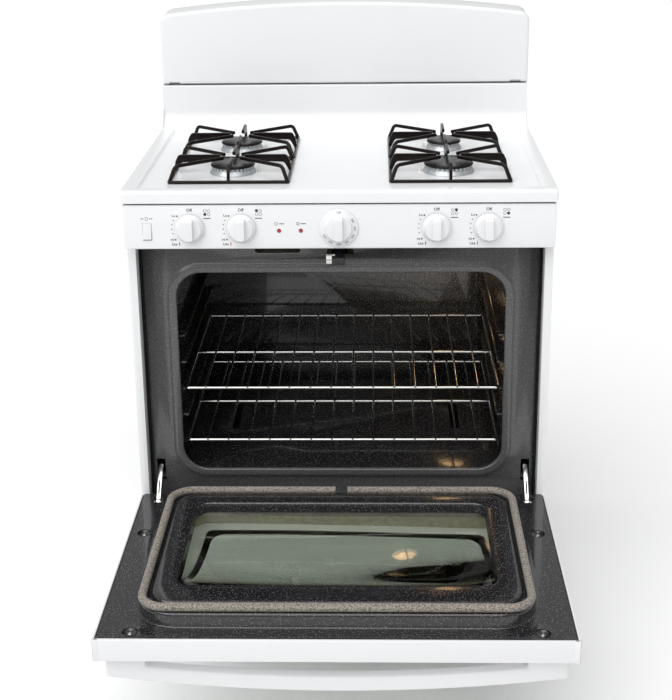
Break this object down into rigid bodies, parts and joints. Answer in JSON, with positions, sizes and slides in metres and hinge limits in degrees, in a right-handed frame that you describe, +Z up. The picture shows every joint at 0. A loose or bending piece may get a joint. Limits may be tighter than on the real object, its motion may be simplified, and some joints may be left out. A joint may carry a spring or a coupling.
{
  "type": "freestanding gas range",
  "caption": "Freestanding gas range with four sealed burners, single grates, front knobs, a drop-down glazed oven door, wire racks and a storage drawer below.",
  "frame": {"origin": "on the floor, midway across the width and midway along the whole length with the door lowered", "axes": "+X to the right seen from the front, +Y towards the wall behind, +Z up"},
  "size_m": [0.759, 1.123, 1.168],
  "materials": {
    "white_enamel": "gloss porcelain enamel",
    "grey_steel": "galvanised, satin",
    "dark_steel": "satin black",
    "oven_enamel": "speckled gloss porcelain enamel",
    "insulation_wool": "matte",
    "plated_steel": "satin",
    "chrome_wire": "bright",
    "valve_brass": "satin",
    "burner_aluminium": "cast, satin",
    "black_enamel": "gloss enamel",
    "ceramic": "glazed",
    "indicator_red": "clear gloss",
    "white_plastic": "satin gloss",
    "white_trim": "satin gloss",
    "window_glass": "clear, faint green",
    "outer_glass": "dark tinted",
    "lamp_glass": "clear",
    "gasket_braid": "woven glass fibre",
    "foot_plastic": "matte"
  },
  "bodies": {
    "range_body": {"side_panel_left": "white_enamel", "side_panel_right": "white_enamel", "rear_panel": "grey_steel", "base_frame": "dark_steel", "levelling_legs": "foot_plastic", "front_frame": "oven_enamel", "oven_wall_left": "oven_enamel", "oven_wall_right": "oven_enamel", "oven_ceiling": "oven_enamel", "oven_rear_wall": "oven_enamel", "oven_floor": "oven_enamel", "oven_insulation": "insulation_wool", "cooktop": "white_enamel", "backguard": "white_enamel", "flue_duct": "grey_steel", "control_panel": "white_enamel", "gas_manifold": "grey_steel", "burner_valves": "valve_brass", "burner_supply_tubes": "burner_aluminium", "pressure_regulator": "grey_steel", "burner_heads": "burner_aluminium", "burner_caps": "black_enamel", "igniters": "ceramic", "grate_front_left": "black_enamel", "grate_rear_left": "black_enamel", "grate_front_right": "black_enamel", "grate_rear_right": "black_enamel", "bake_burner": "plated_steel", "broil_burner": "plated_steel", "oven_lamp": "lamp_glass", "temperature_sensor": "plated_steel", "oven_thermostat": "grey_steel", "indicator_lights": "indicator_red", "hinge_arms": "plated_steel", "drawer_rails": "plated_steel"},
    "door": {"door_outer_panel": "white_enamel", "door_trim": "white_trim", "door_liner": "oven_enamel", "door_insulation": "insulation_wool", "door_inner_glass": "window_glass", "door_outer_glass": "outer_glass", "door_gasket": "gasket_braid", "door_handle": "white_trim", "door_hinge_brackets": "plated_steel", "door_screws": "plated_steel"},
    "drawer": {"drawer_front": "white_enamel", "drawer_tray": "dark_steel"},
    "upper_rack": {"oven_rack_upper": "chrome_wire"},
    "lower_rack": {"oven_rack_lower": "chrome_wire"},
    "stem_1": {"valve_stem_1": "plated_steel"},
    "knob_1": {"burner_knob_1": "white_plastic"},
    "stem_2": {"valve_stem_2": "plated_steel"},
    "knob_2": {"burner_knob_2": "white_plastic"},
    "stem_3": {"valve_stem_3": "plated_steel"},
    "knob_3": {"burner_knob_3": "white_plastic"},
    "stem_4": {"valve_stem_4": "plated_steel"},
    "knob_4": {"burner_knob_4": "white_plastic"},
    "oven_selector": {"oven_knob": "white_plastic"},
    "light_switch": {"light_switch_rocker": "white_plastic"},
    "latch": {"door_latch": "plated_steel"}
  },
  "joints": [
    {"name": "door_hinge", "type": "hinge", "parent": "range_body", "child": "door", "pos_m": [0, -0.07051, 0.30701], "axis": [1, 0, 0], "range_deg": [-90, 0]},
    {"name": "drawer_slide", "type": "slide", "parent": "range_body", "child": "drawer", "axis": [0, -1, 0], "range_m": [0, 0.38]},
    {"name": "upper_rack_slide", "type": "slide", "parent": "range_body", "child": "upper_rack", "axis": [0, -1, 0], "range_m": [0, 0.26]},
    {"name": "lower_rack_slide", "type": "slide", "parent": "range_body", "child": "lower_rack", "axis": [0, -1, 0], "range_m": [0, 0.26]},
    {"name": "knob_1_turn", "type": "hinge", "parent": "range_body", "child": "stem_1", "pos_m": [-0.26, -0.09051, 0.847], "axis": [0, -1, 0], "range_deg": [0, 150]},
    {"name": "knob_1_push", "type": "slide", "parent": "stem_1", "child": "knob_1", "axis": [0, 1, 0], "range_m": [0, 0.003], "stiffness_N_per_m": 2500, "springref_m": -0.002},
    {"name": "knob_2_turn", "type": "hinge", "parent": "range_body", "child": "stem_2", "pos_m": [-0.17, -0.09051, 0.847], "axis": [0, -1, 0], "range_deg": [0, 150]},
    {"name": "knob_2_push", "type": "slide", "parent": "stem_2", "child": "knob_2", "axis": [0, 1, 0], "range_m": [0, 0.003], "stiffness_N_per_m": 2500, "springref_m": -0.002},
    {"name": "knob_3_turn", "type": "hinge", "parent": "range_body", "child": "stem_3", "pos_m": [0.17, -0.09051, 0.847], "axis": [0, -1, 0], "range_deg": [0, 150]},
    {"name": "knob_3_push", "type": "slide", "parent": "stem_3", "child": "knob_3", "axis": [0, 1, 0], "range_m": [0, 0.003], "stiffness_N_per_m": 2500, "springref_m": -0.002},
    {"name": "knob_4_turn", "type": "hinge", "parent": "range_body", "child": "stem_4", "pos_m": [0.26, -0.09051, 0.847], "axis": [0, -1, 0], "range_deg": [0, 150]},
    {"name": "knob_4_push", "type": "slide", "parent": "stem_4", "child": "knob_4", "axis": [0, 1, 0], "range_m": [0, 0.003], "stiffness_N_per_m": 2500, "springref_m": -0.002},
    {"name": "oven_knob_turn", "type": "hinge", "parent": "range_body", "child": "oven_selector", "pos_m": [0, -0.09051, 0.847], "axis": [0, 1, 0], "range_deg": [0, 300]},
    {"name": "light_switch_rock", "type": "hinge", "parent": "range_body", "child": "light_switch", "pos_m": [-0.335, -0.08351, 0.841], "axis": [1, 0, 0], "range_deg": [0, 12]},
    {"name": "latch_swing", "type": "hinge", "parent": "range_body", "child": "latch", "pos_m": [0, 0.02549, 0.776], "axis": [0, 0, 1], "range_deg": [0, 12]}
  ]
}
